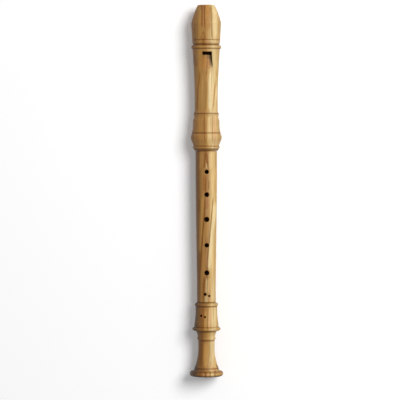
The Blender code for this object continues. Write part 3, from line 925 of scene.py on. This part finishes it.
# %% The middle joint's wood
middle_tones = [
    (-16, "umber"), (-10, "cocoa"), (-7, "oak"), (-4, "buff"), (-1, "oak"),
    (2, "buff"), (4.5, "sand"), (6.5, "corn"), (9, "straw"), (13, "wheat"), (17, "amber"),
]
middle_lines = [
    # Under the head: a dark reddish patch that forks round a pale wedge.
    ([(279, -3.5), (288, -2.5), (296, -1.5), (305, -1.5)], 1.1, 0.6, "dark", 0.85),
    ([(281, 2.5), (294, 1), (305, 0.5)], 1.4, 0.7, "dark", 0.85),
    ([(279, 1), (288, 0.5)], 0.45, 0.45, "cream", 0.6),
    ([(278, 6), (304, 6.5)], 2.6, 1, "straw", 0.7),
    ([(278, 12.5), (302, 12)], 0.7, 0.6, "khaki", 0.7),
    ([(278, -8), (304, -7.5)], 1.3, 1, "honey", 0.5),
    # Between the first holes: orange brown with a dark line in it and one beside it, then yellow.
    ([(248, -2), (274, -2)], 2.6, 1.4, "russet", 0.75),
    ([(247, -1), (270, -1)], 0.8, 0.6, "dark", 0.7),
    ([(251, 3.5), (265, 3.5)], 0.7, 0.5, "shadow", 0.8),
    ([(243, 8.5), (275, 8.5)], 1.6, 0.9, "straw", 0.8),
    ([(246, 11), (267, 11.5)], 0.8, 0.7, "sand", 0.5),
    ([(242, -9.5), (251, -9)], 1.2, 1, "russet", 0.5),
    ([(226, 1.5), (242, 1)], 1.6, 1, "rose", 0.8),
    ([(216, 0.5), (227, 0.5)], 1.6, 1.2, "sand", 0.5),
    # The long dark line on the left, gold beside it, and the dark brown outside it.
    ([(219, -10.5), (240, -10)], 1.8, 1.2, "shadow", 0.7),
    ([(168, -9.5), (189, -8), (216, -6.5), (243, -5)], 1.5, 1, "honey", 0.6),
    ([(127, -9.5), (159, -7.5), (192, -5), (221, -2.5), (243, -2)], 0.8, 0.45, "dark", 0.9),
    ([(143, -8), (173, -6.5)], 1.3, 0.7, "dark", 0.7),
    ([(184, 0), (211, 0.5)], 1.8, 1.2, "honey", 0.6),
    ([(127, -4), (146, -2.5), (170, -1.5)], 1.4, 1, "chestnut", 0.6),
    ([(149, 0.5), (168, 0.5)], 0.9, 0.7, "pink", 0.6),
    ([(138, -10.5), (162, -11)], 1.6, 1, "shadow", 0.6),
    # The long line on the right, thin and dark, with the palest wood to its right.
    ([(143, 4), (162, 5.5), (186, 7), (211, 9.5), (235, 11.5)], 2.2, 0.9, "ivory", 0.85),
    ([(128, 0), (149, 1), (176, 3.5), (208, 6.5), (243, 9.5)], 0.65, 0.4, "shadow", 0.85),
    ([(133, 9.5), (154, 11), (176, 11)], 0.7, 0.6, "sand", 0.7),
    # Towards the foot: dark brown left of the middle, then a pale wedge and a pink line.
    ([(99, -3.5), (122, -3.5), (137, -2.5)], 1.5, 0.8, "dark", 0.8),
    ([(111, 1), (122, 2.5), (134, 3)], 2.6, 1.2, "corn", 0.6),
    ([(111, -1), (122, -0.5), (134, 0)], 0.6, 0.4, "cream", 0.75),
    ([(100, 3.5), (111, 4), (133, 5)], 0.8, 0.7, "pink", 0.7),
    ([(100, 9), (130, 9.5)], 1.6, 1, "cream", 0.6),
    ([(99, 0), (110, 0)], 1.9, 1.1, "cream", 0.65),
    ([(100, -10.5), (138, -9.5)], 1.8, 1.2, "shadow", 0.6),
]
# Painted shade where this joint meets the foot and the head.
middle_grooves = [(100.6, 0.9, "light"), (303.4, 0.9, "faint")]
middle_wood = olive_wood("olive_wood_middle", middle_tones, middle_lines, middle_grooves, 3.7)

# %% The foot's wood
foot_tones = [
    (-20, "bark"), (-14, "bark"), (-10, "cocoa"), (-7, "cocoa"), (-4.5, "earth"),
    (-1, "oak"), (2, "amber"), (4, "wheat"), (6.5, "straw"), (9, "straw"), (14, "wheat"),
    (20, "amber"),
]
foot_lines = [
    # The socket's body: a reddish blotch round the small holes, gold, then peach and yellow.
    ([(49, -5), (76, -5), (87, -4.5), (97, -5)], 1.3, 0.8, "walnut", 0.75),
    ([(77, -6), (91, -6.5)], 1.3, 1.3, "russet", 0.5),
    ([(62, -1), (92, -0.5)], 1.8, 0.9, "honey", 0.8),
    ([(60, 1), (79, 1.5), (95, 2.5)], 0.7, 0.6, "olive", 0.6),
    ([(62, 4.5), (95, 5)], 1.8, 1.1, "apricot", 0.75),
    ([(62, 10.5), (95, 11)], 2.6, 1.3, "cream", 0.8),
    # The waist and the flare: dark brown on the left, gold, one thin line, and pale wood.
    ([(11, -9.5), (30, -8.5), (49, -8)], 1.8, 1, "shadow", 0.75),
    ([(10, -7), (27, -6), (45, -5.5), (60, -4.5)], 0.8, 0.6, "dark", 0.75),
    ([(11, -1.5), (48, -1)], 2.4, 1.2, "honey", 0.7),
    ([(10, 1.5), (22, 3), (38, 4), (54, 4.5)], 0.5, 0.45, "olive", 0.7),
    ([(17, 7.5), (33, 7.5), (57, 7.5)], 2.7, 1, "cream", 0.85),
    ([(6, 11), (15, 8)], 2, 1.4, "peach", 0.6),
    ([(8, 16), (17, 13)], 0.8, 0.6, "shadow", 0.7),
    # The bell's rim cuts across the figure, which breaks up into short dashes.
    ([(-1, -13), (8, -12)], 1.2, 0.8, "cocoa", 0.7),
    ([(-1, -7.5), (8, -7)], 0.9, 0.6, "russet", 0.8),
    ([(-1, -4.5), (7, -4)], 0.8, 0.6, "peach", 0.7),
    ([(-1, -1.5), (8, -1)], 0.8, 0.5, "walnut", 0.8),
    ([(-1, 2), (7, 2)], 0.8, 0.6, "apricot", 0.7),
    ([(-1, 5), (8, 5)], 0.8, 0.5, "russet", 0.8),
    ([(-1, 12), (10, 11.5)], 1.2, 0.8, "russet", 0.7),
]
# Painted shade along the bell's edge on the paper, in the grooves and coves, under the ring and at the
# joint.
foot_grooves = [
    (0.9, 2.0, "heavy"), (6.2, 1.2, "light"), (11.0, 1.6, "medium"), (48.4, 1.5, "medium"),
    (60.8, 1.4, "medium"), (67.0, 0.9, "faint"), (94.6, 1.4, "deep"), (98.6, 0.9, "faint"),
]
foot_wood = olive_wood("olive_wood_foot", foot_tones, foot_lines, foot_grooves, 8.2)

# %% [markdown]
# ## Cedar and cork
# The block is pencil cedar, planed and left without oil: pinkish brown, with straight rings 1 to 2 mm
# apart, which are drawn about 3 mm apart so that they show. The lapping is sheet cork about 1 mm thick,
# tan with crumbs about 1 mm across and short dark pores, and its grease gives it a dull shine. A wave
# texture suits the even rings of cedar, and cells and noise suit the crumbs and pores of cork.

# %% Pencil cedar, planed
cedar, tree, surface, about_bore = new_finish("cedar_planed")
slow = node(tree, "VectorMath", {0: about_bore, 1: (1.2, 0.06, 1.2)}, operation="MULTIPLY")
ring_place = node(tree, "VectorMath", {0: about_bore, 1: (0.35, 0.012, 1)}, operation="MULTIPLY")
rings = node(
    tree,
    "TexWave",
    {
        "Vector": ring_place, "Scale": 0.2, "Distortion": 1.2, "Detail": 2,
        "Detail Scale": 0.4,
    },
    wave_type="BANDS",
    bands_direction="DIAGONAL",
)
fibres = node(tree, "TexNoise", {"Vector": slow, "Scale": 2, "Detail": 3})
ring_tones = [(0, "#BA7B50"), (0.6, "#B27248"), (0.88, "#9C6038"), (1, "#945834")]
ring_wood = node(tree, "ValToRGB", {0: rings.outputs["Fac"]}, points=ring_tones)
fibre_tone = node(tree, "MapRange", {0: fibres, 1: 0.3, 2: 0.7, 3: 0.86, 4: 1.08})
cedar_tone = node(tree, "VectorMath", {0: ring_wood, "Scale": fibre_tone}, operation="SCALE")
tree.links.new(cedar_tone.outputs[0], surface.inputs["Base Color"])
surface.inputs["Roughness"].default_value = 0.62
surface.inputs["IOR"].default_value = 1.48
relief = node(tree, "Bump", {"Strength": 0.3, "Distance": 0.05 * mm, "Height": fibres})
tree.links.new(relief.outputs[0], surface.inputs["Normal"])
print("cedar_planed:", len(tree.nodes), "nodes")

# %% Sheet cork, greased
cork, tree, surface, about_bore = new_finish("sheet_cork_greased")
crumbs = node(tree, "TexVoronoi", {"Vector": about_bore, "Scale": 0.9, "Randomness": 1})
specks = node(tree, "TexNoise", {"Vector": about_bore, "Scale": 0.8, "Detail": 4, "Roughness": 0.65})
crumb_tones = [(0, "#8E6236"), (0.5, "#B0824F"), (1, "#C69A64")]
crumb = node(tree, "ValToRGB", {0: crumbs.outputs["Color"]}, points=crumb_tones)
speck = node(tree, "MapRange", {0: specks, 1: 0.56, 2: 0.66, 3: 0, 4: 0.75}, **smoothly)
cork_tone = node(tree, "Mix", {0: speck, 6: crumb, 7: linear("#4A2E18")}, data_type="RGBA")
tree.links.new(cork_tone.outputs[2], surface.inputs["Base Color"])
greased = node(tree, "MapRange", {0: specks, 1: 0.3, 2: 0.7, 3: 0.5, 4: 0.75})
tree.links.new(greased.outputs[0], surface.inputs["Roughness"])
surface.inputs["IOR"].default_value = 1.45
crumb_edges = crumbs.outputs["Distance"]
relief = node(tree, "Bump", {"Strength": 0.6, "Distance": 0.08 * mm, "Height": crumb_edges})
tree.links.new(relief.outputs[0], surface.inputs["Normal"])
print("sheet_cork_greased:", len(tree.nodes), "nodes")

# %% Putting the finishes on
finishes = {
    head: head_wood, middle: middle_wood, foot: foot_wood,
    block: cedar, upper_cork: cork, lower_cork: cork,
}
for piece, finish in finishes.items():
    piece.data.materials.clear()
    piece.data.materials.append(finish)
# The hidden CAD nodes get the same finishes, so that none keeps its plain packed colour.
for node_name in visual_pieces:
    stand_in = visual_pieces[node_name][0]
    for material_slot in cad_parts[node_name].material_slots:
        material_slot.material = finishes[stand_in]
print(len(finishes), "pieces have their finish")

# %% [markdown]
# ## The table and the light
# The recorder lies on white paper in one soft light from above its right side. It touches the paper with
# the rim of its bell and the bulge of its head, so the paper's plane leans by 0.3 degrees. White
# paper that reads as pure white would need far too much lamp. Instead the paper gives camera rays a
# little light of its own, which leaves the shadow in it and adds nothing to the recorder.

# %% Paper
bpy.ops.object.select_all(action="DESELECT")
bpy.ops.mesh.primitive_plane_add(size=8, location=(0, 0, 0))
paper = bpy.context.active_object
paper.name = "paper"
rise, between_rests = 2.39, 470.3
lean = math.atan2(rise, between_rests)
under_bell = Matrix.Translation((0, -246.3 * mm, -0.11 * mm))
paper.data.transform(under_bell @ Matrix.Rotation(lean, 4, "X"))
print("paper leans by", round(math.degrees(lean), 3), "degrees")


# %% Its own light, and which rays see it
def seen_directly(tree):
    """One for what the camera sees, also in a mirror or glass, and zero for rays that light things."""
    rays = node(tree, "LightPath")
    mirrored = node(
        tree,
        "Math",
        {0: rays.outputs["Is Glossy Ray"], 1: rays.outputs["Is Transmission Ray"]},
        operation="MAXIMUM",
    )
    return node(tree, "Math", {0: rays.outputs["Is Camera Ray"], 1: mirrored}, operation="MAXIMUM")


paper_finish = bpy.data.materials.new("white_paper_matt")
paper_finish.use_nodes = True
tree = paper_finish.node_tree
tree.nodes.clear()
seen = seen_directly(tree)
place = node(tree, "TexCoord")
distance = node(tree, "VectorMath", {0: place.outputs["Object"]}, operation="LENGTH")
far = node(tree, "MapRange", {0: distance.outputs["Value"], 1: 0.45, 2: 1.3, 3: 0, 4: 1}, **smoothly)
far_seen = node(tree, "Math", {0: far, 1: seen}, operation="MULTIPLY")
own_light = node(tree, "Math", {0: seen, 1: 0.15}, operation="MULTIPLY")
matt = node(tree, "BsdfDiffuse", {"Color": linear("#F3F3F3")})
glow = node(tree, "Emission", {"Color": linear("#FFFFFF"), "Strength": own_light})
near_paper = node(tree, "AddShader", {0: matt, 1: glow})
far_paper = node(tree, "Emission", {"Color": linear("#FFFFFF"), "Strength": 1})
both = node(tree, "MixShader", {0: far_seen, 1: near_paper, 2: far_paper})
node(tree, "OutputMaterial", {0: both})
paper.data.materials.append(paper_finish)
print("white_paper_matt:", len(tree.nodes), "nodes")

# %% Studio light
world = bpy.data.worlds.new("studio")
bpy.context.scene.world = world
world.use_nodes = True
tree = world.node_tree
strength = node(tree, "MapRange", {0: seen_directly(tree), 3: 0.31, 4: 1})
tree.links.new(strength.outputs[0], tree.nodes["Background"].inputs["Strength"])
tree.nodes["Background"].inputs["Color"].default_value = linear("#FFFFFF")

lamp_distance = 3.2
towards_lamp = Vector((0.54, 0.36, 1)).normalized()
lamp_data = bpy.data.lights.new("soft_box", "AREA")
lamp_data.shape = "DISK"
lamp_data.size = 1.7
lamp_data.energy = 88
lamp = bpy.data.objects.new("soft_box", lamp_data)
bpy.context.scene.collection.objects.link(lamp)
lamp.location = towards_lamp * lamp_distance
lamp.rotation_euler = towards_lamp.to_track_quat("Z", "Y").to_euler()
print("lamp at", [round(c, 2) for c in lamp.location])

# %% [markdown]
# ## The camera
# The photograph looks almost straight down, a little from the beak's end. The focal length follows from
# how many millimetres the square picture covers at the height of the bore.

# %% Camera
picture_width = 0.5392
camera_height = 3
off_middle = -8.4 * mm
camera = bpy.data.objects.new("camera", bpy.data.cameras.new("camera"))
bpy.context.scene.collection.objects.link(camera)
aim = Vector((off_middle, -12.1 * mm, bore_height))
camera.location = (off_middle, 64.75 * mm, bore_height + camera_height)
tilt = math.atan2(camera.location.y - aim.y, camera_height)
camera.rotation_euler = (-tilt, 0, math.radians(-0.06))
camera.data.lens = camera.data.sensor_width * (camera.location - aim).length / picture_width
camera.data.clip_end = 20
bpy.context.scene.camera = camera
bpy.context.scene.view_settings.view_transform = "Standard"
print(f"camera with a {camera.data.lens:.0f} mm lens, {math.degrees(tilt):.2f} degrees off straight down")
